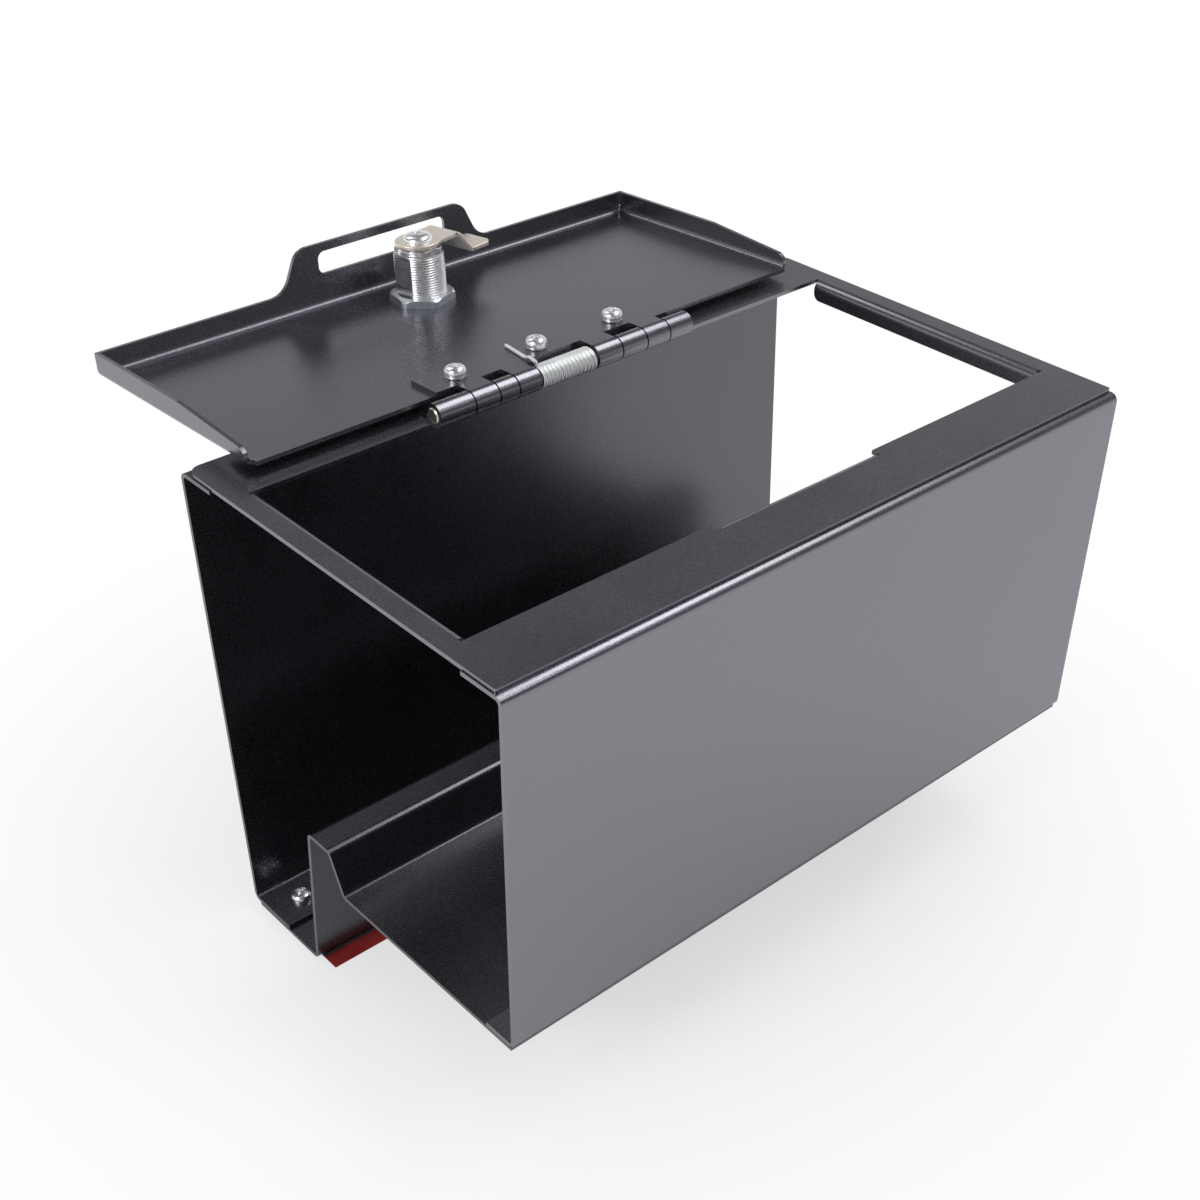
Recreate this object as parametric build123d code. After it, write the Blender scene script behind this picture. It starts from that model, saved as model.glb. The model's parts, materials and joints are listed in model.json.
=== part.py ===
"""Console insert lock box with a flush spring-opened lid and a cam lock.

Frame: +X along the box, +Y towards the hinge wall, +Z up, millimetres.
Origin: middle of the adhesive strip that the box stands on.
The lid is drawn level in a hinge frame and then turned into its open rest pose.
"""
import os
from math import cos, radians, sin

from build123d import *

os.makedirs("parts", exist_ok=True)

# sheet metal
SHEET = 1.5
BEND_IN = 1.5
BEND_OUT = BEND_IN + SHEET
BEND_MID = BEND_IN + SHEET / 2
RELIEF = 1.5
ROOT_LAP = 0.5

# cutters reach this far past what they cut
OVER = 1.0
LONG = 80.0

# box
HALF_LENGTH = 140.0
PLATE_HALF_LENGTH = 139.5
TOP_Z = 188.0
PLATE_FRONT_Y = -121.0
PLATE_BACK_Y = 41.0
PLATE_BACK_CORNER_R = 5.0
PLATE_FRONT_CORNER_R = 1.0
FACE_FRONT_Y = -124.2
FACE_BACK_TOP_Y = 44.2
FACE_BACK_FOOT_Y = 36.6
FLANGE_FRONT_END_Y = -106.0
FLANGE_BACK_END_Y = 26.0
FRONT_FOOT_FLANGE_END_Y = -110.0
BACK_FOOT_FLANGE_END_Y = 13.0

# opening in the top plate
OPENING_FRONT_Y = -96.5
OPENING_BACK_Y = 14.3
OPENING_HALF_X = 129.5
SIDE_FLANGE_DROP = 7.3
STRIKE_MIN_X = -33.6
STRIKE_MAX_X = 38.6
STRIKE_FACE_Y = -97.5
STRIKE_DROP = 14.5
STRIKE_CORNER_R = 3.0
HINGE_NOTCH_MIN_X = -60.0
HINGE_NOTCH_MAX_X = 63.0
HINGE_NOTCH_BACK_Y = 22.0
HINGE_NOTCH_R = 1.0

# stepped floor
FLOOR_TOP_Z = 49.5
FLOOR_FRONT_Y = -122.6
SLANT_FOOT_MID_Y = -29.9
RIDGE_FRONT_MID_Y = -22.75
RIDGE_BACK_Y = -9.6
RIDGE_TOP_Z = 65.7
WALL_FOOT_Y = -5.0
STRIP_BACK_Y = 33.0

# adhesive strip under the lower floor
TAPE_HALF_WIDTH = 13.0
TAPE_HALF_LENGTH = 137.0
FOAM_FRONT_Y = -6.0
LINER_THICK = 0.3
FOAM_THICK = 1.2
STRIP_BOTTOM_Z = LINER_THICK + FOAM_THICK
STRIP_TOP_Z = STRIP_BOTTOM_Z + SHEET

# screws and clinch nuts
SCREW_R = 2.0
SCREW_HOLE_R = 2.15
HEAD_R = 4.1
HEAD_HEIGHT = 3.1
HEAD_CROWN = 0.8
HEAD_TOP_R = 3.0
RECESS_LENGTH = 4.4
RECESS_WIDTH = 1.0
RECESS_DEPTH = 1.6
WASHER_R = 3.9
WASHER_THICK = 1.2
CLINCH_NUT_R = 4.0
SCREW_SET_BACK = 0.2
FIT_GAP = 0.02
FLOOR_SCREW_X = (-127.5, 0.0, 127.5)
FLOOR_SCREW_Y = 23.5

# hinge
PIN_Y = 16.3
PIN_Z = TOP_Z + 1.5
KNUCKLE_R = 4.5
KNUCKLE_BORE_R = 3.0
PIN_R = 2.95
PIN_OVERHANG = 0.3
PIN_CHAMFER = 0.4
KNUCKLE_MID_R = (KNUCKLE_R + KNUCKLE_BORE_R) / 2
CURL_SWEEP = 305.0
KNUCKLE_ENDS = (-57.5, -41.9, -31.1, -22.5, -12.3, 14.4, 26.2, 38.4, 49.8, 61.5)
KNUCKLE_GAP = 0.6
FIXED_KNUCKLES = (0, 2, 6, 8)
LID_KNUCKLES = (1, 3, 5, 7)
SPRING_SLOT = 4
FIXED_LEAF_END_Y = 25.7
LEAF_NOTCH = 6.6
LID_LEAF_END = 21.5
LID_LEAF_MIN_X = -50.8
LID_SCREW_X = (-37.6, -0.8, 36.0)
LID_SCREW_DISTANCE = 12.9

# torsion spring
WIRE_R = 0.75
COIL_R = 3.85
COIL_TURNS = 13.5
COIL_MARGIN = 0.5
FIXED_LEG_DIP = 15.0
FIXED_LEG_LENGTH = 13.0
LID_LEG_START = 0.6
LID_LEG_START_RISE = 0.85
LID_LEG_CREST = 4.0
LID_LEG_CREST_RISE = 1.0
LID_LEG_FOOT = 6.6
LID_LEG_FOOT_SHIFT = 0.3
LID_LEG_END_X = -8.8
LID_LEG_END = 20.5
LEG_BEND_R = 1.6

# lid, measured from the pin axis
LID_OPEN_PAST_LEVEL = 2.8
LID_HALF_LENGTH = 126.0
LID_NEAR = 7.2
LID_FAR = 109.0
LID_OUTER = PIN_Z - TOP_Z
LID_INNER = LID_OUTER + SHEET
LID_FLANGE = 9.5
LID_FLANGE_SET_BACK = 2.0
LID_FLANGE_END_R = 4.0
LID_FLANGE_NEAR = 5.9
LID_TAPER_START = 51.0
TAB_HEIGHT = 25.3
TAB_TOP_HALF = 39.3
TAB_FOOT_HALF = 46.8
TAB_TOP_R = 7.0
TAB_FOOT_R = 9.0
SLOT_HALF = 30.2
SLOT_LOW = 13.3
SLOT_HIGH = 22.1
SLOT_R = 3.0

# cam lock, heights measured from the lid's inner face
LOCK_X = 1.0
LOCK_DISTANCE = 84.9
BARREL_R = 9.5
BARREL_FLAT = 8.0
BARREL_TOP = 19.0
LOCK_HOLE_GAP = 0.1
FACE_FLANGE_R = 11.5
FACE_FLANGE_THICK = 2.6
FACE_FLANGE_BEVEL = 1.2
PLUG_R = 6.0
PLUG_BORE_R = 6.05
PLUG_FACE_SET_BACK = 0.4
SHAFT_R = 5.2
SHAFT_BORE_R = 5.25
END_WALL = 2.5
NUT_FLATS = 23.0
NUT_THICK = 3.2
NUT_CHAMFER = 0.8
NUT_FACE_MARGIN = 0.5
NUT_TURN = 20.0
STOP_THICK = 2.0
STOP_R = 7.7
STOP_TAB_R = 9.2
STOP_TAB_SWEEP = 68.0
STOP_LUG_STARTS = (90.0, 240.0)
STOP_LUG_SWEEP = 50.0
STOP_LUG_HEIGHT = 1.8
STOP_GAP = 0.1
STOP_CLEARANCE = 1.0
SPACER_R = 6.6
SPACER_THICK = 0.8
SQUARE_HALF = 3.65
SQUARE_GAP = 0.1
CAM_REST_TURN = 10.0
CAM_THICK = 1.6
CAM_BOTTOM = 21.9
CAM_END_R = 8.8
CAM_HALF_WIDTH = 7.4
CAM_CREST_X = 15.5
CAM_FOOT_X = 22.2
CAM_TIP_X = 33.7
CAM_TIP_CHAMFER = 2.0
CAM_DROP = 8.3
CAM_BEND_R = 2.0
CAM_BOLT_R = 2.5
CAM_BOLT_HEAD_R = 5.7
CAM_BOLT_HEAD_HEIGHT = 2.2
CAM_BOLT_HEAD_CROWN = 0.8
CAM_BOLT_HEAD_BEVEL = 1.6
CAM_BOLT_LENGTH = 9.0
KEYWAY_WIDTH = 1.6
KEYWAY_LENGTH = 8.0
WAFER_COUNT = 5
WAFER_PITCH = 2.6
WAFER_THICK = 1.0
WAFER_FIRST = 1.6
WAFER_SLOT_HALF_X = 1.9
WAFER_WINDOW_LENGTH = 7.0
WAFER_GAP = 0.15


def save(node, shape):
    """Write one named piece."""
    solids = shape.solids()
    body = solids[0] if len(solids) == 1 else Compound(children=list(solids))
    body.label = node
    export_step(body, f"parts/{node}.step")


def box_between(low, high):
    """A block from its lowest to its highest corner."""
    size = [high[i] - low[i] for i in range(3)]
    middle = [(high[i] + low[i]) / 2 for i in range(3)]
    return Pos(*middle) * Box(*size)


def tube_x(radius, x_min, x_max, y, z):
    """A cylinder lying along X."""
    middle = Pos((x_min + x_max) / 2, y, z)
    return middle * Rot(0, 90, 0) * Cylinder(radius, x_max - x_min)


def rod_z(radius, z_min, z_max, x=0.0, y=0.0):
    """A cylinder standing along Z."""
    return Pos(x, y, (z_min + z_max) / 2) * Cylinder(radius, z_max - z_min)


def folded_along_x(middle_line, x_min, x_max):
    """Sheet folded along X, from the (y, z) corners of its middle line."""
    line = FilletPolyline(*middle_line, radius=BEND_MID)
    profile = trace(line, SHEET)
    return extrude(Plane.YZ.offset(x_min) * profile, x_max - x_min)


def folded_along_y(middle_line, y_min, y_max):
    """Sheet folded along Y, from the (x, z) corners of its middle line."""
    line = FilletPolyline(*middle_line, radius=BEND_MID)
    profile = trace(line, SHEET)
    plane = Plane(origin=(0, y_max, 0), x_dir=(1, 0, 0), z_dir=(0, -1, 0))
    return extrude(plane * profile, y_max - y_min)


def pan_screw(shank_length):
    """Pan-head cross-recess screw: head seat at z = 0, shank downwards."""
    rim_z = HEAD_HEIGHT - HEAD_CROWN
    outline = Polyline(
        (0, -shank_length), (SCREW_R, -shank_length), (SCREW_R, 0), (HEAD_R, 0), (HEAD_R, rim_z),
        (HEAD_TOP_R, HEAD_HEIGHT), (0, HEAD_HEIGHT), (0, -shank_length),
    )
    profile = make_face(outline)
    screw = revolve(Plane.XZ * profile, Axis.Z)
    arm = Box(RECESS_LENGTH, RECESS_WIDTH, 2 * RECESS_DEPTH)
    recess = arm + Rot(0, 0, 90) * arm
    return screw - Pos(0, 0, HEAD_HEIGHT) * recess


def ring(outer_r, inner_r, z_min, z_max):
    """A flat ring about Z."""
    return rod_z(outer_r, z_min, z_max) - rod_z(inner_r, z_min - OVER, z_max + OVER)


def sector(radius, start, sweep, z_min, z_max):
    """A pie slice about Z."""
    edge_a = Line((0, 0), (radius * cos(radians(start)), radius * sin(radians(start))))
    arc = CenterArc((0, 0), radius, start, sweep)
    edge_b = Line(arc @ 1, (0, 0))
    face = make_face(edge_a + arc + edge_b)
    return extrude(Plane.XY.offset(z_min) * face, z_max - z_min)


def open_lid(shape):
    """Move a piece from the lid's hinge frame into the open rest pose."""
    return Pos(0, PIN_Y, PIN_Z) * Rot(-LID_OPEN_PAST_LEVEL, 0, 0) * shape


def on_lock(shape):
    """Move a piece from the lock's frame into the lid's hinge frame."""
    return Pos(LOCK_X, LOCK_DISTANCE, LID_INNER) * shape


def on_plug(shape):
    """Move a piece that turns with the plug into the open rest pose, cam a little off +X."""
    return open_lid(on_lock(Rot(0, 0, CAM_REST_TURN) * shape))


def make_top_plate():
    """Frame plate with down-turned side lips, strike lip and hinge notch."""
    low_z = TOP_Z - SHEET
    plate = box_between(
        (-PLATE_HALF_LENGTH, PLATE_FRONT_Y, low_z), (PLATE_HALF_LENGTH, PLATE_BACK_Y, TOP_Z)
    )
    corners = plate.edges().filter_by(Axis.Z).sort_by(Axis.Y)
    plate = fillet(corners[2:], PLATE_BACK_CORNER_R)
    corners = plate.edges().filter_by(Axis.Z).sort_by(Axis.Y)
    plate = fillet(corners[:2], PLATE_FRONT_CORNER_R)
    lip_root_x = OPENING_HALF_X + BEND_OUT
    plate -= box_between(
        (-lip_root_x, OPENING_FRONT_Y, low_z - OVER), (lip_root_x, OPENING_BACK_Y, TOP_Z + OVER)
    )
    notch = box_between(
        (HINGE_NOTCH_MIN_X, OPENING_BACK_Y - OVER, low_z - OVER),
        (HINGE_NOTCH_MAX_X, HINGE_NOTCH_BACK_Y, TOP_Z + OVER),
    )
    notch = fillet(notch.edges().filter_by(Axis.Z), HINGE_NOTCH_R)
    plate -= notch
    strike_root_y = STRIKE_FACE_Y - BEND_OUT
    plate -= box_between(
        (STRIKE_MIN_X - RELIEF, strike_root_y, low_z - OVER),
        (STRIKE_MAX_X + RELIEF, OPENING_FRONT_Y + OVER, TOP_Z + OVER),
    )
    middle_z = TOP_Z - SHEET / 2
    lip_middle_x = OPENING_HALF_X + SHEET / 2
    side_line = [
        (lip_root_x + ROOT_LAP, middle_z),
        (lip_middle_x, middle_z),
        (lip_middle_x, TOP_Z - SIDE_FLANGE_DROP),
    ]
    lip = folded_along_y(side_line, OPENING_FRONT_Y + RELIEF, OPENING_BACK_Y - RELIEF)
    tips = lip.edges().filter_by(Axis.X).group_by(Axis.Z)[0]
    lip = fillet(tips, BEND_OUT)
    plate += lip + mirror(lip, Plane.YZ)
    strike_middle_y = STRIKE_FACE_Y - SHEET / 2
    strike_line = [
        (strike_root_y - ROOT_LAP, middle_z),
        (strike_middle_y, middle_z),
        (strike_middle_y, TOP_Z - STRIKE_DROP),
    ]
    strike = folded_along_x(strike_line, STRIKE_MIN_X, STRIKE_MAX_X)
    tips = strike.edges().filter_by(Axis.Y).group_by(Axis.Z)[0]
    strike = fillet(tips, STRIKE_CORNER_R)
    return plate + strike


def make_front_shell():
    """Front panel with a flange under the top plate and one over the floor."""
    top = TOP_Z - SHEET - SHEET / 2
    foot = FLOOR_TOP_Z + SHEET / 2
    face = FACE_FRONT_Y + SHEET / 2
    line = [(FLANGE_FRONT_END_Y, top), (face, top), (face, foot), (FRONT_FOOT_FLANGE_END_Y, foot)]
    return folded_along_x(line, -HALF_LENGTH, HALF_LENGTH)


def make_floor_bracket():
    """Front floor, slanted riser, ridge, drop wall and lower strip in one fold."""
    half = SHEET / 2
    floor_z = FLOOR_TOP_Z - half
    ridge_z = RIDGE_TOP_Z - half
    strip_z = STRIP_TOP_Z - half
    line = [
        (FLOOR_FRONT_Y, floor_z),
        (SLANT_FOOT_MID_Y, floor_z),
        (RIDGE_FRONT_MID_Y, ridge_z),
        (RIDGE_BACK_Y - half, ridge_z),
        (WALL_FOOT_Y - half, strip_z),
        (STRIP_BACK_Y, strip_z),
    ]
    bracket = folded_along_x(line, -HALF_LENGTH, HALF_LENGTH)
    for x in FLOOR_SCREW_X:
        seat = clinch_body(STRIP_BOTTOM_Z - OVER, STRIP_TOP_Z + OVER)
        bracket -= Pos(x, FLOOR_SCREW_Y, 0) * seat
    return bracket


def make_back_wall():
    """Leaning back wall with a top flange and a screwed foot flange."""
    half = SHEET / 2
    top = TOP_Z - SHEET - half
    foot = STRIP_TOP_Z + half
    line = [
        (FLANGE_BACK_END_Y, top),
        (FACE_BACK_TOP_Y - half, top),
        (FACE_BACK_FOOT_Y - half, foot),
        (BACK_FOOT_FLANGE_END_Y, foot),
    ]
    wall = folded_along_x(line, -HALF_LENGTH, HALF_LENGTH)
    for x in FLOOR_SCREW_X:
        wall -= rod_z(SCREW_HOLE_R, foot - SHEET, foot + SHEET, x, FLOOR_SCREW_Y)
    return wall


def clinch_body(z_min, z_max):
    """Hexagonal outline of a flush clinch nut."""
    hexagon = RegularPolygon(CLINCH_NUT_R, 6, major_radius=False)
    return extrude(Plane.XY.offset(z_min) * hexagon, z_max - z_min)


def make_clinch_nut():
    """Flush self-clinching nut, top face at z = 0."""
    return clinch_body(-SHEET, 0) - rod_z(SCREW_R + FIT_GAP, -SHEET - OVER, OVER)


def make_hinge_leaf(knuckles, leaf_min_x, leaf_max_x, leaf_end):
    """Rolled hinge leaf about the pin axis, leaf above the pin, towards +Y."""
    leaf = None
    for k in knuckles:
        x_min = KNUCKLE_ENDS[k] + KNUCKLE_GAP / 2
        x_max = KNUCKLE_ENDS[k + 1] - KNUCKLE_GAP / 2
        arc = CenterArc((0, 0), KNUCKLE_MID_R, 90, CURL_SWEEP)
        tail = Line((LEAF_NOTCH + ROOT_LAP, KNUCKLE_MID_R), (0, KNUCKLE_MID_R))
        curl = extrude(Plane.YZ.offset(x_min) * trace(tail + arc, SHEET), x_max - x_min)
        leaf = curl if leaf is None else leaf + curl
    plate = box_between(
        (leaf_min_x, LEAF_NOTCH, KNUCKLE_BORE_R), (leaf_max_x, leaf_end, KNUCKLE_R)
    )
    return leaf + plate


def make_fixed_leaf():
    """Hinge leaf welded under the back strip of the top plate."""
    first = KNUCKLE_ENDS[0] + KNUCKLE_GAP / 2
    last = KNUCKLE_ENDS[-1] - KNUCKLE_GAP / 2
    leaf = make_hinge_leaf(FIXED_KNUCKLES, first, last, FIXED_LEAF_END_Y - PIN_Y)
    return Pos(0, PIN_Y, PIN_Z) * mirror(leaf, Plane.XY)


def make_lid_leaf():
    """Hinge leaf on the lid's inner face, in the lid's hinge frame."""
    last = KNUCKLE_ENDS[LID_KNUCKLES[-1] + 1] - KNUCKLE_GAP / 2
    leaf = make_hinge_leaf(LID_KNUCKLES, LID_LEAF_MIN_X, last, LID_LEAF_END)
    for x in LID_SCREW_X:
        leaf -= rod_z(SCREW_HOLE_R, 0, KNUCKLE_R + OVER, x, LID_SCREW_DISTANCE)
    return leaf


def make_pin():
    """Hinge pin with small end chamfers."""
    x_min = KNUCKLE_ENDS[0] - PIN_OVERHANG
    x_max = KNUCKLE_ENDS[-1] + PIN_OVERHANG
    pin = tube_x(PIN_R, x_min, x_max, PIN_Y, PIN_Z)
    return chamfer(pin.edges().filter_by(GeomType.CIRCLE), PIN_CHAMFER)


def make_spring():
    """Torsion coil about the pin with its fixed leg under the back strip."""
    x_min = KNUCKLE_ENDS[SPRING_SLOT] + COIL_MARGIN + WIRE_R
    x_max = KNUCKLE_ENDS[SPRING_SLOT + 1] - COIL_MARGIN - WIRE_R
    length = x_max - x_min
    path = Helix(length / (COIL_TURNS - FIXED_LEG_DIP / 360), length, COIL_R)
    start = Plane(origin=path @ 0, z_dir=path % 0)
    coil = sweep(start * Circle(WIRE_R), path=path, is_frenet=True)
    coil = Pos(x_min, PIN_Y, PIN_Z) * Rot(0, 90, 0) * Rot(0, 0, 180) * coil
    leg = Cylinder(WIRE_R, FIXED_LEG_LENGTH, align=(Align.CENTER, Align.CENTER, Align.MIN))
    leg = Pos(0, 0, -COIL_R) * Rot(-90, 0, 0) * leg
    return coil + Pos(x_max, PIN_Y, PIN_Z) * Rot(-FIXED_LEG_DIP, 0, 0) * leg


def make_lid_leg():
    """Spring leg that lies on the lid's leaf, in the lid's hinge frame."""
    x_start = KNUCKLE_ENDS[SPRING_SLOT] + COIL_MARGIN + WIRE_R
    rest_z = KNUCKLE_R + WIRE_R + FIT_GAP
    points = [
        (x_start, LID_LEG_START, COIL_R + WIRE_R + LID_LEG_START_RISE),
        (x_start, LID_LEG_CREST, rest_z + LID_LEG_CREST_RISE),
        (x_start + LID_LEG_FOOT_SHIFT, LID_LEG_FOOT, rest_z),
        (LID_LEG_END_X, LID_LEG_END, rest_z),
    ]
    path = FilletPolyline(*points, radius=LEG_BEND_R)
    start = Plane(origin=path @ 0, z_dir=path % 0)
    return sweep(start * Circle(WIRE_R), path=path)


def lid_block(sheet_in, bend):
    """Block inside the lid's outer faces by sheet_in, rounded where three flanges fold up."""
    near = LID_NEAR - OVER * (sheet_in > 0)
    block = box_between(
        (sheet_in - LID_HALF_LENGTH, near, LID_OUTER + sheet_in),
        (LID_HALF_LENGTH - sheet_in, LID_FAR - sheet_in, LID_OUTER + TAB_HEIGHT + sheet_in),
    )
    folds = block.edges().group_by(Axis.Z)[0].sort_by(Axis.Y)[1:]
    return fillet(folds, bend)


def make_lid_pan():
    """Lid tray with three welded-corner flanges and the slotted cam tab, hinge frame."""
    pan = lid_block(0, BEND_OUT) - lid_block(SHEET, BEND_IN)
    floor = box_between(
        (BEND_OUT - LID_HALF_LENGTH, LID_NEAR, LID_OUTER - OVER),
        (LID_HALF_LENGTH - BEND_OUT, LID_FAR, LID_INNER),
    )
    far = make_tab_outline() & Pos(0, LID_FAR, 0) * Box(LONG * 4, 2 * SHEET, LONG)
    pan = pan & (floor + make_side_flange_outline() + far)
    slot = RectangleRounded(2 * SLOT_HALF, SLOT_HIGH - SLOT_LOW, SLOT_R)
    slot_z = LID_OUTER + (SLOT_HIGH + SLOT_LOW) / 2
    pan -= extrude(Plane.XZ * Pos(0, slot_z) * slot, -2 * LID_FAR)
    for x in LID_SCREW_X:
        pan -= Pos(x, LID_SCREW_DISTANCE, 0) * clinch_body(LID_OUTER - OVER, LID_INNER + OVER)
    hole = rod_z(BARREL_R + LOCK_HOLE_GAP, -SHEET - OVER, OVER)
    hole = hole & Box(2 * (BARREL_FLAT + LOCK_HOLE_GAP), LONG, LONG)
    return pan - on_lock(hole)


def make_side_flange_outline():
    """Solid whose YZ outline is a side flange that tapers to a round near end."""
    low = LID_OUTER - OVER
    near_y = LID_NEAR + LID_FLANGE_SET_BACK
    near_top = LID_OUTER + LID_FLANGE_NEAR
    face = make_face(
        Polyline(
            (near_y, low), (LID_FAR, low), (LID_FAR, LID_OUTER + LID_FLANGE),
            (LID_TAPER_START, LID_OUTER + LID_FLANGE), (near_y, near_top), (near_y, low),
        )
    )
    near_tip = face.vertices().sort_by_distance((near_y, near_top))[0]
    face = fillet(near_tip, LID_FLANGE_END_R)
    return extrude(Plane.YZ * face, LID_HALF_LENGTH + OVER, both=True)


def make_tab_outline():
    """Solid whose XZ outline is the far flange with its raised tab."""
    low = LID_OUTER - OVER
    brim = LID_OUTER + LID_FLANGE
    top = LID_OUTER + TAB_HEIGHT
    face = make_face(
        Polyline(
            (-LID_HALF_LENGTH, low), (LID_HALF_LENGTH, low), (LID_HALF_LENGTH, brim),
            (TAB_FOOT_HALF, brim), (TAB_TOP_HALF, top), (-TAB_TOP_HALF, top),
            (-TAB_FOOT_HALF, brim), (-LID_HALF_LENGTH, brim), (-LID_HALF_LENGTH, low),
        )
    )
    tops = face.vertices().group_by(Axis.Y)[-1]
    face = fillet(tops, TAB_TOP_R)
    feet = [face.vertices().sort_by_distance((x, brim))[0] for x in (-TAB_FOOT_HALF, TAB_FOOT_HALF)]
    face = fillet(feet, TAB_FOOT_R)
    return extrude(Plane.XZ * face, -2 * LID_FAR)


def make_lock_body():
    """Zinc barrel with two flats, face flange, plug bore and two stop lugs."""
    outer = -SHEET
    barrel = rod_z(BARREL_R, outer - ROOT_LAP, BARREL_TOP)
    barrel = barrel & Box(2 * BARREL_FLAT, LONG, LONG)
    rim = rod_z(FACE_FLANGE_R, outer - FACE_FLANGE_THICK, outer)
    rim = chamfer(rim.edges().group_by(Axis.Z)[0], FACE_FLANGE_BEVEL)
    body = barrel + rim
    lug_top = BARREL_TOP + STOP_LUG_HEIGHT
    for start in STOP_LUG_STARTS:
        lug = sector(STOP_TAB_R, start, STOP_LUG_SWEEP, BARREL_TOP - ROOT_LAP, lug_top)
        body += lug - rod_z(STOP_R + STOP_GAP, BARREL_TOP, lug_top + OVER)
    body -= rod_z(PLUG_BORE_R, outer - FACE_FLANGE_THICK - OVER, BARREL_TOP - END_WALL)
    body -= rod_z(SHAFT_BORE_R, 0, BARREL_TOP + OVER)
    return body


def make_lock_nut():
    """Hexagon nut that clamps the barrel to the lid."""
    across = NUT_FLATS / 2
    nut = extrude(RegularPolygon(across, 6, major_radius=False, rotation=NUT_TURN), NUT_THICK)
    cone = rod_z(across + NUT_CHAMFER + NUT_FACE_MARGIN, 0, NUT_THICK)
    cone = chamfer(cone.edges().group_by(Axis.Z)[-1], NUT_CHAMFER)
    nut = nut & cone
    return nut - rod_z(BARREL_R + FIT_GAP, -OVER, NUT_THICK + OVER)


def make_plug():
    """Key plug, its shaft and square drive, with the keyway and wafer slots."""
    face = PLUG_FACE_SET_BACK - SHEET - FACE_FLANGE_THICK
    plug = rod_z(PLUG_R, face, BARREL_TOP - END_WALL - STOP_GAP)
    plug += rod_z(SHAFT_R, 0, BARREL_TOP + STOP_GAP)
    square_top = CAM_BOTTOM + CAM_THICK - STOP_GAP
    plug += box_between(
        (-SQUARE_HALF, -SQUARE_HALF, BARREL_TOP), (SQUARE_HALF, SQUARE_HALF, square_top)
    )
    keyway = Box(KEYWAY_WIDTH, KEYWAY_LENGTH, 2 * (WAFER_COUNT + 1) * WAFER_PITCH)
    plug -= Pos(0, 0, face) * keyway
    for i in range(WAFER_COUNT):
        z = face + WAFER_FIRST + (i + 0.5) * WAFER_PITCH
        plug -= Pos(0, 0, z) * Box(2 * WAFER_SLOT_HALF_X, LONG, WAFER_THICK + WAFER_GAP)
    return plug - rod_z(CAM_BOLT_R, square_top - CAM_BOLT_LENGTH, square_top + OVER)


def make_wafers():
    """Spring wafers in the plug, each with a key window."""
    face = PLUG_FACE_SET_BACK - SHEET - FACE_FLANGE_THICK
    wafers = []
    for i in range(WAFER_COUNT):
        z = face + WAFER_FIRST + (i + 0.5) * WAFER_PITCH
        blank = rod_z(PLUG_R - WAFER_GAP, z - WAFER_THICK / 2, z + WAFER_THICK / 2)
        blank = blank & Box(2 * WAFER_SLOT_HALF_X - WAFER_GAP, LONG, LONG)
        wafers.append(blank - Box(KEYWAY_WIDTH, WAFER_WINDOW_LENGTH, LONG))
    return wafers


def make_stop_washer():
    """Washer on the square drive whose tab meets the barrel's stop lugs."""
    low = BARREL_TOP + STOP_GAP
    high = BARREL_TOP + STOP_THICK
    washer = rod_z(STOP_R, low, high)
    start = STOP_LUG_STARTS[-1] + STOP_LUG_SWEEP + STOP_CLEARANCE
    washer += sector(STOP_TAB_R, start, STOP_TAB_SWEEP, low, high)
    return washer - square_hole()


def make_cam_spacer():
    """Round spacer between the stop washer and the cam."""
    return rod_z(SPACER_R, CAM_BOTTOM - SPACER_THICK, CAM_BOTTOM) - square_hole()


def square_hole():
    """Clearance for the plug's square drive."""
    side = 2 * SQUARE_HALF + SQUARE_GAP
    return Box(side, side, LONG)


def make_cam():
    """Cranked strip cam on the plug's square drive, pointing along +X."""
    half = CAM_THICK / 2
    top = CAM_BOTTOM + half
    low = top - CAM_DROP
    line = FilletPolyline(
        (-CAM_END_R - OVER, top), (CAM_CREST_X, top), (CAM_FOOT_X, low), (CAM_TIP_X, low),
        radius=CAM_BEND_R,
    )
    strip = extrude(Plane.XZ * trace(line, CAM_THICK), CAM_END_R + OVER, both=True)
    arm = Pos(CAM_TIP_X / 2, 0) * Rectangle(CAM_TIP_X, 2 * CAM_HALF_WIDTH)
    arm = chamfer(arm.vertices().group_by(Axis.X)[-1], CAM_TIP_CHAMFER)
    outline = Circle(CAM_END_R) + arm
    cam = strip & extrude(outline, LONG)
    return cam - square_hole()


def make_cam_bolt():
    """Cross-recess bolt that holds the cam on the plug."""
    seat = CAM_BOTTOM + CAM_THICK
    shank = rod_z(CAM_BOLT_R - FIT_GAP, seat - CAM_BOLT_LENGTH + OVER, seat + ROOT_LAP)
    head = rod_z(CAM_BOLT_HEAD_R, seat, seat + CAM_BOLT_HEAD_HEIGHT)
    head = chamfer(head.edges().group_by(Axis.Z)[-1], CAM_BOLT_HEAD_CROWN, CAM_BOLT_HEAD_BEVEL)
    arm = Box(CAM_BOLT_HEAD_R, RECESS_WIDTH, CAM_BOLT_HEAD_HEIGHT)
    recess = arm + Rot(0, 0, 90) * arm
    return shank + head - Pos(0, 0, seat + CAM_BOLT_HEAD_HEIGHT) * recess


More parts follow.
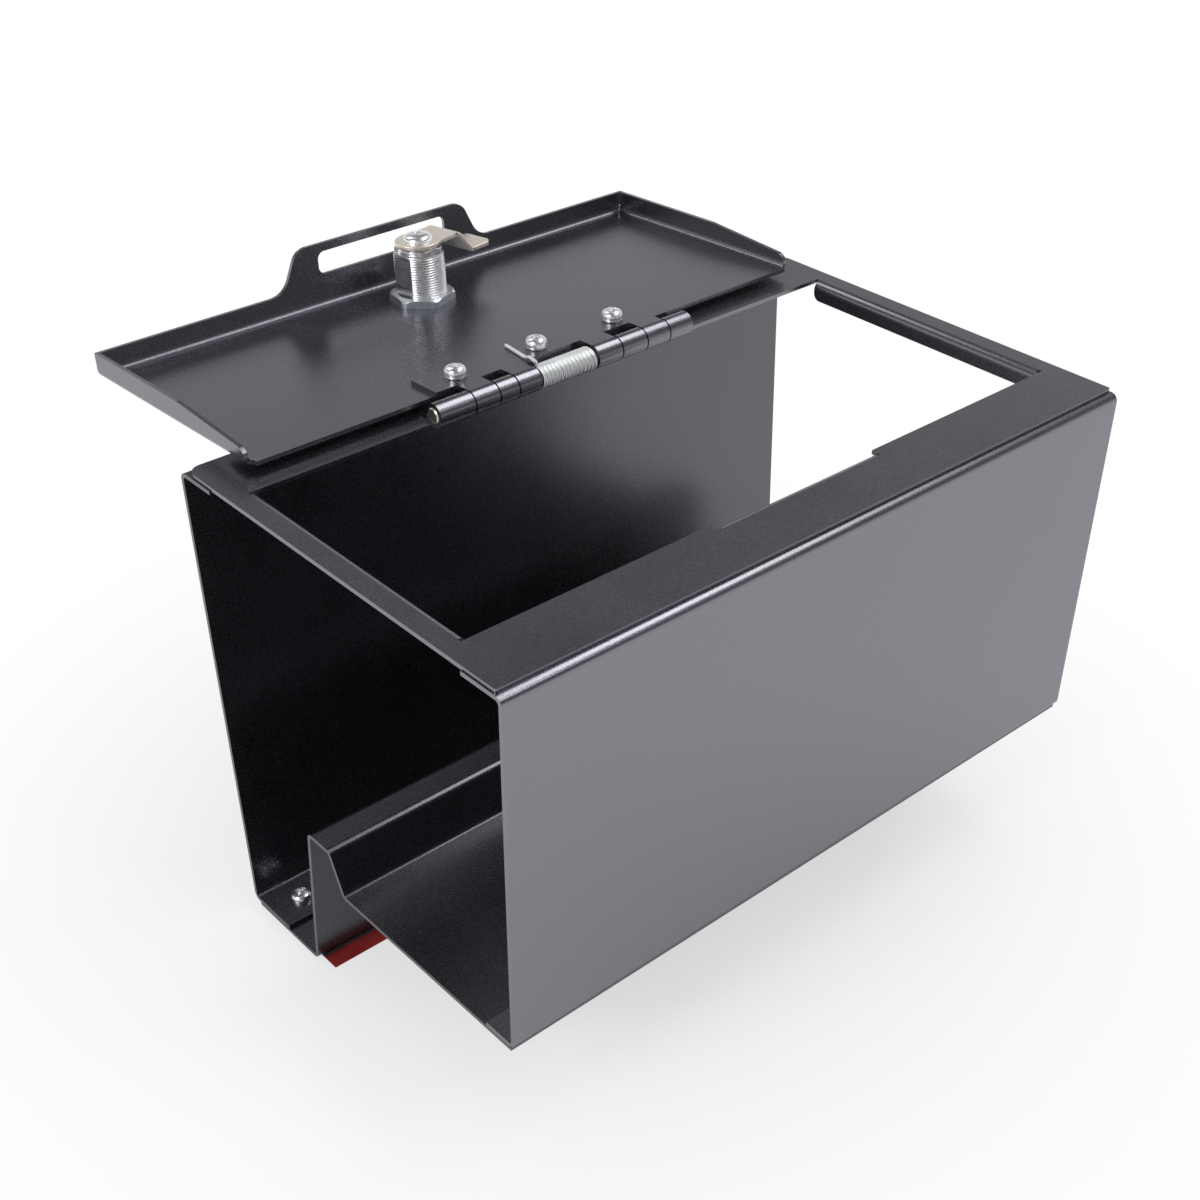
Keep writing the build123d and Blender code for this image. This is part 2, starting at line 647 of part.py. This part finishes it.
def main():
    """Build and write every piece."""
    save("top_plate", make_top_plate())
    save("front_shell", make_front_shell())
    save("floor_bracket", make_floor_bracket())
    save("back_wall", make_back_wall())
    save("hinge_fixed_leaf", make_fixed_leaf())
    save("hinge_pin", make_pin())
    save("hinge_spring", make_spring())
    save("tape_foam", box_between(
        (-TAPE_HALF_LENGTH, FOAM_FRONT_Y, LINER_THICK),
        (TAPE_HALF_LENGTH, TAPE_HALF_WIDTH, STRIP_BOTTOM_Z),
    ))
    save("tape_liner", box_between(
        (-TAPE_HALF_LENGTH, -TAPE_HALF_WIDTH, 0), (TAPE_HALF_LENGTH, TAPE_HALF_WIDTH, LINER_THICK)
    ))
    for i, x in enumerate(FLOOR_SCREW_X, 1):
        seat = Pos(x, FLOOR_SCREW_Y, STRIP_TOP_Z + SHEET)
        save(f"floor_screw_{i}", seat * pan_screw(2 * SHEET))
        save(f"floor_nut_{i}", Pos(x, FLOOR_SCREW_Y, STRIP_TOP_Z) * make_clinch_nut())

    save("lid_pan", open_lid(make_lid_pan()))
    save("hinge_lid_leaf", open_lid(make_lid_leaf()))
    save("spring_lid_leg", open_lid(make_lid_leg()))
    for i, x in enumerate(LID_SCREW_X, 1):
        place = Pos(x, LID_SCREW_DISTANCE, 0)
        seat = KNUCKLE_R + WASHER_THICK
        washer = ring(WASHER_R, SCREW_HOLE_R, KNUCKLE_R, seat)
        save(f"lid_washer_{i}", open_lid(place * washer))
        screw = Pos(0, 0, seat) * pan_screw(seat - LID_OUTER - SCREW_SET_BACK)
        save(f"lid_screw_{i}", open_lid(place * screw))
        save(f"lid_nut_{i}", open_lid(place * Pos(0, 0, LID_INNER) * make_clinch_nut()))
    save("lock_body", open_lid(on_lock(make_lock_body())))
    save("lock_nut", open_lid(on_lock(make_lock_nut())))
    save("lock_plug", on_plug(make_plug()))
    for i, wafer in enumerate(make_wafers(), 1):
        save(f"lock_wafer_{i}", on_plug(wafer))
    save("stop_washer", on_plug(make_stop_washer()))
    save("cam_spacer", on_plug(make_cam_spacer()))
    save("cam", on_plug(make_cam()))
    save("cam_bolt", on_plug(make_cam_bolt()))


main()
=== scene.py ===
"""Looks of the console safe insert: powder coat, plated hardware, studio and camera."""

import json
from math import cos, pi, radians, sin

import bpy
from mathutils import Matrix, Vector


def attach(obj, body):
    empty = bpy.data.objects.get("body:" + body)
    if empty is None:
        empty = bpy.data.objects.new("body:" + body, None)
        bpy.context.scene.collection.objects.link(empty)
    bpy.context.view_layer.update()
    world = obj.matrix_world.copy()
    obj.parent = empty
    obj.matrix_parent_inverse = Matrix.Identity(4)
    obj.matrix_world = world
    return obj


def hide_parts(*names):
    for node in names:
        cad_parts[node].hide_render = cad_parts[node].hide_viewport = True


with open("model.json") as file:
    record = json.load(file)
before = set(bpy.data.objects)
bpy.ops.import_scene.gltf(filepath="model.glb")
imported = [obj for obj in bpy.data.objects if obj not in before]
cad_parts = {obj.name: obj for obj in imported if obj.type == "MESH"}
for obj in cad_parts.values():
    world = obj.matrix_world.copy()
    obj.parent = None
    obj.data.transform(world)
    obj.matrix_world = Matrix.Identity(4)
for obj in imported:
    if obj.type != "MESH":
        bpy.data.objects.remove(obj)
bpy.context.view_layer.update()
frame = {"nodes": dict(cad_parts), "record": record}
nodes = frame["nodes"]
joints = {joint["name"]: joint for joint in frame["record"]["behaviour"]["joints"]}

# camera, fitted to the photograph's straight edges
IMAGE_SIZE = 1200
CAMERA_PLACE = (-0.3679, -0.4222, 0.4613)
CAMERA_AZIMUTH = -41.45
CAMERA_ELEVATION = 36.26
CAMERA_ROLL = 0.30
FOCAL_PIXELS = 1729
CENTRE_ROW = 700
SENSOR = 36.0
CLIP_RANGE = (0.01, 50.0)

# floor: its white share to the camera and to mirrors rises from near the object outwards
FLOOR_RADIUS = 30.0
FLOOR_SIDES = 96
FLOOR_COLOR = (0.80, 0.80, 0.80, 1)
FLOOR_ROUGHNESS = 0.9
WHITE_SHARE_NEAR = 0.62
WHITE_RADII = (0.12, 0.30)
MIRROR_SHARE_NEAR = 0.15
MIRROR_RADII = (0.14, 0.28)

# world: heights are the vertical part of a direction
WORLD_LIGHT = 0.50
CEILING_LIGHT = 0.16
HORIZON_HEIGHT = 0.15
CEILING_HEIGHT = 0.50
FRONT_DIMMING = 0.28

# soft boxes: name, place, height of the target, size and radiance
SOFT_BOXES = (
    ("key_box", (1.1, -0.1, 1.85), 0.12, (1.4, 0.6), 4.8),
    ("back_box", (-0.1, 1.3, 1.6), 0.12, (0.9, 0.6), 2.5),
    ("left_box", (-1.6, -0.15, 1.2), 0.15, (0.7, 0.7), 8.0),
    ("right_box", (0.62, -1.2, 1.7), 0.15, (0.5, 0.5), 6.0),
)

# the open lid's frame: on the hinge axis, and tilted as the lid lies, a little past level
PIN_PLACE = joints["lid_hinge"]["pos_m"]
LID_TILT = radians(180 - joints["lid_hinge"]["range_deg"][1])
LID_FRAME = Matrix.Translation(PIN_PLACE) @ Matrix.Rotation(LID_TILT, 4, "X")

# edges that catch the light
ROUNDED_NODES = ("lock_nut", "cam", "stop_washer", "lid_washer_1", "lid_washer_2", "lid_washer_3")
EDGE_ROUND = 0.00035
EDGE_SEGMENTS = 3
EDGE_ANGLE = radians(20)
FACE_AREA_WEIGHT = 100

# scales of the materials' noises, in cells per metre
GRAIN_SCALE = 1000
PEEL_SCALE = 420
CLOUD_SCALE = 28
SPECK_SCALE = 1300
STAIN_SCALE = 190
SCRATCH_SCALE = 800
FINE_SCALE = 2400
PORE_SCALE = 2200
RIPPLE_SCALE = 60
CREASE_SCALE = 900

# most values of a noise lie in this range
NOISE_RANGE = (0.3, 0.7)

# powder coat, duller where it is thin, in inside corners; with less gloss on the parts inside the box,
# as painted shade
COAT_COLORS = ((0.004, 0.004, 0.005), (0.009, 0.009, 0.011))
COAT_TINT = (0.89, 0.89, 1.0, 1)
COAT_IOR = 2.1
COAT_ROUGHNESS = (0.22, 0.26)
SPECK_ROUGHNESS = 0.06
GRAIN_DEPTH = 0.000009
PEEL_DEPTH = 0.00001
GLOSS_OUTSIDE = 0.94
# less gloss for the parts inside the box, so that they render darker: painted shade
GLOSS_SHADED_INSIDE = 0.50
CORNER_REACH = 0.003
CORNER_SHADE = (0.6, 0.95)
CORNER_ROUGHNESS = 0.30
CORNER_SAMPLES = 4

# plated metals: colour, colour of the stains, roughness and depth of the grain
METALS = {
    "pin_steel": ((0.62, 0.60, 0.56), (0.66, 0.61, 0.54), 0.34, 0.00001),
    "spring_zinc": ((0.97, 0.98, 0.99), (0.92, 0.94, 0.96), 0.40, 0.000004),
    "screw_zinc": ((0.96, 0.97, 1.0), (0.90, 0.91, 0.93), 0.30, 0.000004),
    "clinch_zinc": ((0.70, 0.71, 0.73), (0.6, 0.6, 0.6), 0.3, 0.00001),
    "nut_zinc": ((0.88, 0.93, 1.0), (0.92, 0.95, 0.98), 0.34, 0.000006),
    "barrel_zinc": ((0.96, 0.96, 0.97), (0.86, 0.86, 0.88), 0.30, 0.00001),
    "plug_zinc": ((0.74, 0.75, 0.76), (0.66, 0.66, 0.68), 0.26, 0.00001),
    "cam_nickel": ((0.96, 0.89, 0.80), (0.90, 0.83, 0.74), 0.43, 0.00001),
    "wafer_brass": ((0.75, 0.58, 0.28), (0.6, 0.45, 0.2), 0.35, 0.00001),
}
STAIN_RANGE = (0.35, 0.72)
SCRATCH_RANGE = (0.35, 0.7)
SCRATCH_STRETCH = (1.0, 0.12, 1.0)
SCRATCH_SMOOTHER = 0.04
SCRATCH_ROUGHER = 0.07

# adhesive strip
# the darker foam colour is painted shade in the pits of the open cells
FOAM_AND_PIT_SHADE_COLORS = ((0.012, 0.012, 0.012), (0.05, 0.05, 0.05))
FOAM_ROUGHNESS = 0.9
PORE_RANGE = (0.05, 0.5)
PORE_DEPTH = 0.0002
LINER_COLORS = ((0.30, 0.028, 0.026), (0.40, 0.045, 0.040))
LINER_ROUGHNESS = (0.26, 0.40)
RIPPLE_DEPTH = 0.0006
CREASE_DEPTH = 0.00004

# crowned screws: radius and height of a head, and half length, half width and depth of its recess
HEAD = (0.0041, 0.0031)
SHANK_R = 0.0020
SHANK_BEVEL = 0.0003
CROWN_POWER = 3
RECESS = (0.0023, 0.00065, 0.0017)
RECESS_TAPER = 0.6
SCREW_TURN = radians(20)
SCREW_RINGS = 36
SCREW_COLUMNS = 72
LID_SCREW_X = (-0.0376, -0.0008, 0.0360)
LID_SCREW_PLACE = (0.0129, 0.0057)
LID_SHANK = 0.0040
FLOOR_SCREW_X = (-0.1275, 0.0, 0.1275)
FLOOR_SCREW_PLACE = (0.0235, 0.0045)
FLOOR_SHANK = 0.0030

# cam lock
LOCK_PLACE = (0.0010, 0.0849, 0.0030)
CAM_TURN = radians(10)
CAM_BOLT_SEAT = 0.0235
CAM_BOLT_HEAD = (0.0057, 0.0026)
CAM_BOLT_SHANK = (0.0024, 0.0075)
THREAD_SPAN = (0.0032, 0.0189)
THREAD_PITCH = 0.0010
THREAD_ROOT_R = 0.00952
THREAD_DEPTH = 0.00030
THREAD_RUNOUT = 0.0008
THREAD_FLAT = 0.00803
THREAD_CORE = 0.0008
THREAD_COLUMNS = 180
THREAD_ROWS_PER_TURN = 7

# weld beads in the tray's far corners
BEAD_PLACE = (0.1237, 0.1067, 0.0044)
BEAD_SIZE = (0.0012, 0.0012, 0.0021)
BEAD_RIPPLE = 0.12
BEAD_WAVES = 4
BEAD_ROWS = 16
BEAD_COLUMNS = 20

# in a new piece an edge with a larger turn stays sharp
SHARP_ANGLE = radians(40)

NEAR_ZERO = 1e-6


class Graph:
    """Adds shader nodes to the tree of a material or a world and links them."""

    def __init__(self, owner, coordinates="Object"):
        owner.use_nodes = True
        self.owner = owner
        self.tree = owner.node_tree
        self.shader = self.tree.nodes.get("Principled BSDF") or self.tree.nodes["Background"]
        self.place = self.add("ShaderNodeTexCoord").outputs[coordinates]

    def add(self, kind, **settings):
        """A new node with its properties set."""
        node = self.tree.nodes.new(kind)
        for key, value in settings.items():
            setattr(node, key, value)
        return node

    def put(self, value, socket):
        """Links an output to an input, or gives the input a plain value."""
        if isinstance(value, bpy.types.NodeSocket):
            self.tree.links.new(value, socket)
        else:
            socket.default_value = value

    def set(self, **values):
        """Sets the shader's sockets by name, with _ for a space."""
        for key, value in values.items():
            self.put(value, self.shader.inputs[key.replace("_", " ")])

    def noise(self, scale, detail, roughness=0.5, stretch=None):
        """Noise from 0 to 1 at a scale in cells per metre."""
        node = self.add("ShaderNodeTexNoise")
        node.inputs["Scale"].default_value = scale
        node.inputs["Detail"].default_value = detail
        node.inputs["Roughness"].default_value = roughness
        source = self.place
        if stretch:
            mapping = self.add("ShaderNodeMapping")
            mapping.inputs["Scale"].default_value = stretch
            self.put(source, mapping.inputs["Vector"])
            source = mapping.outputs["Vector"]
        self.put(source, node.inputs["Vector"])
        return node.outputs["Fac"]

    def cells(self, scale):
        """Distance to scattered points at a scale in cells per metre."""
        node = self.add("ShaderNodeTexVoronoi")
        node.inputs["Scale"].default_value = scale
        self.put(self.place, node.inputs["Vector"])
        return node.outputs["Distance"]

    def math(self, operation, a, b):
        """A math node on sockets or numbers."""
        node = self.add("ShaderNodeMath", operation=operation)
        self.put(a, node.inputs[0])
        self.put(b, node.inputs[1])
        return node.outputs[0]

    def span(self, value, low, high, to_low, to_high):
        """Maps value from one range to another, clamped."""
        node = self.add("ShaderNodeMapRange")
        self.put(value, node.inputs["Value"])
        levels = {"From Min": low, "From Max": high, "To Min": to_low, "To Max": to_high}
        for key, level in levels.items():
            self.put(level, node.inputs[key])
        return node.outputs["Result"]

    def ramp(self, value, low, high, colors):
        """Blend of two colours, from low to high."""
        node = self.add("ShaderNodeValToRGB")
        for element, position, color in zip(node.color_ramp.elements, (low, high), colors):
            element.position = position
            element.color = (*color, 1)
        self.put(value, node.inputs["Fac"])
        return node.outputs["Color"]

    def bump(self, *layers):
        """Stacked bumps from (height socket, depth in metres)."""
        normal = None
        for height, depth in layers:
            node = self.add("ShaderNodeBump")
            node.inputs["Distance"].default_value = depth
            self.put(height, node.inputs["Height"])
            if normal:
                self.put(normal, node.inputs["Normal"])
            normal = node.outputs["Normal"]
        self.set(Normal=normal)


def powder_coat(name, gloss):
    """Fine-textured black powder coat, slightly uneven and duller in inside corners."""
    g = Graph(bpy.data.materials.new(name))
    grain = g.noise(GRAIN_SCALE, detail=2)
    peel = g.noise(PEEL_SCALE, detail=2)
    cloud = g.noise(CLOUD_SCALE, detail=4, roughness=0.6)
    speck = g.noise(SPECK_SCALE, detail=2)
    corner = g.add("ShaderNodeAmbientOcclusion", only_local=True, samples=CORNER_SAMPLES)
    corner.inputs["Distance"].default_value = CORNER_REACH
    thin = g.span(corner.outputs["AO"], *CORNER_SHADE, CORNER_ROUGHNESS, 0.0)
    texture = g.math("ADD", g.span(speck, *NOISE_RANGE, 0.0, SPECK_ROUGHNESS), thin)
    tone = g.math("ADD", g.math("MULTIPLY", cloud, 0.5), g.math("MULTIPLY", speck, 0.5))
    g.set(
        Base_Color=g.ramp(tone, *NOISE_RANGE, COAT_COLORS),
        Roughness=g.math("ADD", g.span(cloud, *NOISE_RANGE, *COAT_ROUGHNESS), texture),
        Specular_IOR_Level=gloss,
        Specular_Tint=COAT_TINT,
        IOR=COAT_IOR,
    )
    g.bump((grain, GRAIN_DEPTH), (peel, PEEL_DEPTH))
    return g.owner


def plated(name, color, stain, roughness, grain_depth):
    """Plated metal with faint stains, fine scratches and a slightly uneven gloss."""
    g = Graph(bpy.data.materials.new(name))
    patch = g.noise(STAIN_SCALE, detail=4, roughness=0.6)
    scratch = g.noise(SCRATCH_SCALE, detail=3, roughness=0.6, stretch=SCRATCH_STRETCH)
    fine = g.noise(FINE_SCALE, detail=2)
    smooth, rough = roughness - SCRATCH_SMOOTHER, roughness + SCRATCH_ROUGHER
    g.set(
        Base_Color=g.ramp(patch, *STAIN_RANGE, (color, stain)),
        Metallic=1.0,
        Roughness=g.span(scratch, *SCRATCH_RANGE, smooth, rough),
    )
    g.bump((scratch, grain_depth), (fine, grain_depth / 2))
    return g.owner


def foam():
    """Dark acrylic foam with open cells on its cut edge, darker in the middle of each cell as painted
    shade in its pit.
    """
    g = Graph(bpy.data.materials.new("foam"))
    pores = g.cells(PORE_SCALE)
    # the colour is darkest in the middle of each cell, where the bump sinks a pit: painted shade
    g.set(Base_Color=g.ramp(pores, *PORE_RANGE, FOAM_AND_PIT_SHADE_COLORS), Roughness=FOAM_ROUGHNESS)
    g.bump((pores, PORE_DEPTH))
    return g.owner


def liner():
    """Glossy red release film."""
    g = Graph(bpy.data.materials.new("liner"))
    ripple = g.noise(RIPPLE_SCALE, detail=2)
    crease = g.noise(CREASE_SCALE, detail=2)
    g.set(
        Base_Color=g.ramp(ripple, *NOISE_RANGE, LINER_COLORS),
        Roughness=g.span(crease, *NOISE_RANGE, *LINER_ROUGHNESS),
    )
    g.bump((ripple, RIPPLE_DEPTH), (crease, CREASE_DEPTH))
    return g.owner


def grid_piece(name, rows, columns, point, wrapped):
    """Mesh of rows by columns of points.

    It is closed round its columns, and round its rows or with a pole at each end.
    """
    segments = range(columns)
    vertices = [point(i, j) for i in range(rows) for j in segments]
    quads = [
        (i * columns + j, i * columns + (j + 1) % columns,
         (i + 1) % rows * columns + (j + 1) % columns, (i + 1) % rows * columns + j)
        for i in range(rows if wrapped else rows - 1) for j in segments
    ]
    if not wrapped:
        last = (rows - 1) * columns
        for ring in ([*segments][::-1], [last + j for j in segments]):
            center = sum((Vector(vertices[k]) for k in ring), Vector()) / columns
            vertices.append(center)
            quads += [(ring[j], ring[(j + 1) % columns], len(vertices) - 1) for j in segments]
    mesh = bpy.data.meshes.new(name)
    mesh.from_pydata([tuple(v) for v in vertices], [], quads)
    mesh.shade_smooth()
    mesh.set_sharp_from_angle(angle=SHARP_ANGLE)
    piece = bpy.data.objects.new(name, mesh)
    bpy.context.scene.collection.objects.link(piece)
    return piece


def recess_depth(x, y):
    """Depth of a cross recess at a point, shallower towards the ends of its arms."""
    half_length, half_width, depth = RECESS
    along, across = max(abs(x), abs(y)), min(abs(x), abs(y))
    if along > half_length or across > half_width:
        return 0.0
    return depth * (1 - RECESS_TAPER * along / half_length)


def domed_screw(name, head, shank):
    """Lathe-turned screw: a crowned head with a cross recess on a plain shank, seat at z = 0."""
    head_r, height = head
    shank_r, length = shank
    profile = [
        (shank_r - SHANK_BEVEL, -length),
        (shank_r, SHANK_BEVEL - length),
        (shank_r, 0.0),
        (head_r, 0.0),
    ]
    crown_start = len(profile)
    for i in range(1, SCREW_RINGS):
        r = head_r * cos(i / SCREW_RINGS * pi / 2)
        profile.append((r, height * (1 - (r / head_r) ** CROWN_POWER) ** (1 / CROWN_POWER)))

    def point(i, j):
        r, z = profile[i]
        a = 2 * pi * j / SCREW_COLUMNS
        x, y = r * cos(a), r * sin(a)
        return x, y, z - (recess_depth(x, y) if i >= crown_start else 0.0)

    return grid_piece(name, len(profile), SCREW_COLUMNS, point, False)


def barrel_thread(name):
    """Sleeve with a fine thread outside, cut away by the barrel's two flats."""
    low, high = THREAD_SPAN
    rows = round((high - low) / THREAD_PITCH * THREAD_ROWS_PER_TURN)

    def point(i, j):
        a = 2 * pi * j / THREAD_COLUMNS
        flat = THREAD_FLAT / max(abs(cos(a)), NEAR_ZERO)
        if i > rows:
            r = min(THREAD_ROOT_R, flat) - THREAD_CORE
            z = high if i == rows + 1 else low
        else:
            z = low + (high - low) * i / rows
            crest = 0.5 - 0.5 * cos(2 * pi * (z / THREAD_PITCH - j / THREAD_COLUMNS))
            fade = min(1.0, (high - z) / THREAD_RUNOUT)
            r = min(THREAD_ROOT_R + THREAD_DEPTH * crest * fade, flat)
        return r * cos(a), r * sin(a), z

    return grid_piece(name, rows + 3, THREAD_COLUMNS, point, True)


def weld_bead(name):
    """Small rippled bead that closes a corner of the tray."""

    def point(i, j):
        lift = pi * ((i + 0.5) / BEAD_ROWS - 0.5)
        a = 2 * pi * j / BEAD_COLUMNS
        swell = 1 + BEAD_RIPPLE * sin(BEAD_WAVES * lift + a)
        x, y, z = (swell * size for size in BEAD_SIZE)
        return x * cos(lift) * cos(a), y * cos(lift) * sin(a), z * sin(lift)

    return grid_piece(name, BEAD_ROWS, BEAD_COLUMNS, point, False)


def build_hardware(materials):
    """Crowned screws in place of the plain ones, the barrel's thread and the tray's weld beads."""
    turned = Matrix.Rotation(SCREW_TURN, 4, "Z")
    screw_rows = (
        ("lid_screw", "lid", LID_FRAME, LID_SCREW_X, LID_SCREW_PLACE, LID_SHANK),
        ("floor_screw", "box", Matrix(), FLOOR_SCREW_X, FLOOR_SCREW_PLACE, FLOOR_SHANK),
    )
    pieces = []
    for i in range(len(LID_SCREW_X)):
        for row, body, origin, row_x, (y, z), length in screw_rows:
            screw = domed_screw(f"{row}_domed_{i + 1}", HEAD, (SHANK_R, length))
            place = origin @ Matrix.Translation((row_x[i], y, z)) @ turned
            pieces.append((screw, place, body, "screw_zinc", f"{row}_{i + 1}"))
    lock_frame = LID_FRAME @ Matrix.Translation(LOCK_PLACE)
    bolt = domed_screw("cam_bolt_domed", CAM_BOLT_HEAD, CAM_BOLT_SHANK)
    place = lock_frame @ Matrix.Rotation(CAM_TURN, 4, "Z") @ Matrix.Translation((0, 0, CAM_BOLT_SEAT))
    pieces.append((bolt, place, "plug", "screw_zinc", "cam_bolt"))
    pieces.append((barrel_thread("barrel_thread"), lock_frame, "lid", "barrel_zinc", None))
    x, y, z = BEAD_PLACE
    for side, name in ((-1, "weld_bead_left"), (1, "weld_bead_right")):
        place = LID_FRAME @ Matrix.Translation((side * x, y, z))
        pieces.append((weld_bead(name), place, "lid", "powder_black", None))
    for piece, place, body, slot, stands_for in pieces:
        piece.data.transform(place)
        piece.data.materials.append(materials[slot])
        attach(piece, body)
        if stands_for:
            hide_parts(stands_for)


def floor_material():
    """White floor: plain white away from the object, to the camera and in reflections."""
    g = Graph(bpy.data.materials.new("studio_floor"))
    g.set(Base_Color=FLOOR_COLOR, Roughness=FLOOR_ROUGHNESS)
    away = g.add("ShaderNodeVectorMath", operation="LENGTH")
    g.put(g.place, away.inputs[0])
    reach = away.outputs["Value"]
    path = g.add("ShaderNodeLightPath").outputs
    mirrored = g.math("MAXIMUM", path["Is Glossy Ray"], path["Is Transmission Ray"])
    mirrored = g.math("MULTIPLY", mirrored, g.span(reach, *MIRROR_RADII, MIRROR_SHARE_NEAR, 1.0))
    near_white = g.span(reach, *WHITE_RADII, WHITE_SHARE_NEAR, 1.0)
    shown = g.math("MULTIPLY", path["Is Camera Ray"], near_white)
    white = g.add("ShaderNodeEmission")
    blend = g.add("ShaderNodeMixShader")
    g.put(g.math("MAXIMUM", shown, mirrored), blend.inputs[0])
    g.put(g.shader.outputs[0], blend.inputs[1])
    g.put(white.outputs[0], blend.inputs[2])
    g.put(blend.outputs[0], g.tree.nodes["Material Output"].inputs["Surface"])
    return g.owner


def build_world():
    """White to the camera; in reflections white at the back's horizon, darker overhead and in front."""
    g = Graph(bpy.data.worlds.new("studio"), "Generated")
    bpy.context.scene.world = g.owner
    direction = g.add("ShaderNodeSeparateXYZ")
    g.put(g.place, direction.inputs[0])
    front = g.span(direction.outputs["Y"], -1.0, 0.0, FRONT_DIMMING, 0.0)
    height = g.math("ADD", direction.outputs["Z"], front)
    path = g.add("ShaderNodeLightPath").outputs
    mirrored = g.span(height, HORIZON_HEIGHT, CEILING_HEIGHT, 1.0, CEILING_LIGHT)
    lit = g.span(path["Is Diffuse Ray"], 0.0, 1.0, mirrored, WORLD_LIGHT)
    g.set(Color=(1, 1, 1, 1), Strength=g.span(path["Is Camera Ray"], 0.0, 1.0, lit, 1.0))


def soft_box(name, place, target_height, size, radiance):
    """A soft box aimed at the object, unseen by the camera."""
    data = bpy.data.lights.new(name, "AREA")
    data.shape = "RECTANGLE"
    data.size, data.size_y = size
    data.energy = radiance * pi * size[0] * size[1]
    lamp = bpy.data.objects.new(name, data)
    bpy.context.scene.collection.objects.link(lamp)
    lamp.location = place
    aim = Vector((0, 0, target_height)) - Vector(place)
    lamp.rotation_euler = aim.to_track_quat("-Z", "Y").to_euler()
    lamp.visible_camera = False


def build_studio():
    """Floor, world and soft boxes."""
    bpy.ops.mesh.primitive_circle_add(vertices=FLOOR_SIDES, radius=FLOOR_RADIUS, fill_type="NGON")
    floor = bpy.context.object
    floor.name = "studio_floor"
    floor.data.materials.append(floor_material())
    build_world()
    for box in SOFT_BOXES:
        soft_box(*box)


def build_camera():
    """Camera at the photograph's place and angle."""
    data = bpy.data.cameras.new("camera")
    data.sensor_width = SENSOR
    data.lens = FOCAL_PIXELS / IMAGE_SIZE * SENSOR
    data.shift_y = (CENTRE_ROW - IMAGE_SIZE / 2) / IMAGE_SIZE
    data.clip_start, data.clip_end = CLIP_RANGE
    a, e, r = radians(CAMERA_AZIMUTH), radians(CAMERA_ELEVATION), radians(CAMERA_ROLL)
    back = Vector((sin(a) * cos(e), -cos(a) * cos(e), sin(e)))
    right = Vector((0, 0, 1)).cross(back).normalized()
    up = back.cross(right)
    right, up = right * cos(r) + up * sin(r), up * cos(r) - right * sin(r)
    camera = bpy.data.objects.new("camera", data)
    bpy.context.scene.collection.objects.link(camera)
    turn = Matrix((right, up, back)).transposed().to_4x4()
    camera.matrix_world = Matrix.Translation(CAMERA_PLACE) @ turn
    bpy.context.scene.camera = camera


def build_materials():
    """One material for each slot of the record, and a less glossy copy of the coat that paints shade on
    the parts inside the box.
    """
    return {
        "powder_black": powder_coat("powder_coat", GLOSS_OUTSIDE),
        # the less glossy copy of the coat, painted shade for the parts inside the box
        "powder_shaded_inside": powder_coat("powder_coat_shaded_inside", GLOSS_SHADED_INSIDE),
        **{name: plated(name, *look) for name, look in METALS.items()},
        "foam": foam(),
        "liner_red": liner(),
    }


def round_edges(node):
    """Rounds the sharp edges of a hard metal piece so that they catch the light."""
    weld = node.modifiers.new("weld", "WELD")
    weld.merge_threshold = NEAR_ZERO
    bevel = node.modifiers.new("bevel", "BEVEL")
    bevel.width = EDGE_ROUND
    bevel.segments = EDGE_SEGMENTS
    bevel.limit_method = "ANGLE"
    bevel.angle_limit = EDGE_ANGLE
    bevel.use_clamp_overlap = True
    bevel.harden_normals = False
    smooth = node.modifiers.new("normals", "WEIGHTED_NORMAL")
    smooth.keep_sharp = False
    smooth.weight = FACE_AREA_WEIGHT


def finish_nodes(materials):
    """Gives every CAD node its material, and some of them rounded edges."""
    slots = {part["node"]: part["material_slot"] for part in frame["record"]["subparts"]}
    # the back wall and the floor bracket take the less glossy copy of the coat: painted shade inside
    # the box
    slots.update(back_wall="powder_shaded_inside", floor_bracket="powder_shaded_inside")
    for name, node in nodes.items():
        for holder in node.material_slots:
            holder.material = materials[slots[name]]
    for name in ROUNDED_NODES:
        round_edges(nodes[name])


build_camera()
build_studio()
coats = build_materials()
finish_nodes(coats)
build_hardware(coats)
bpy.context.scene.view_settings.view_transform = "Standard"
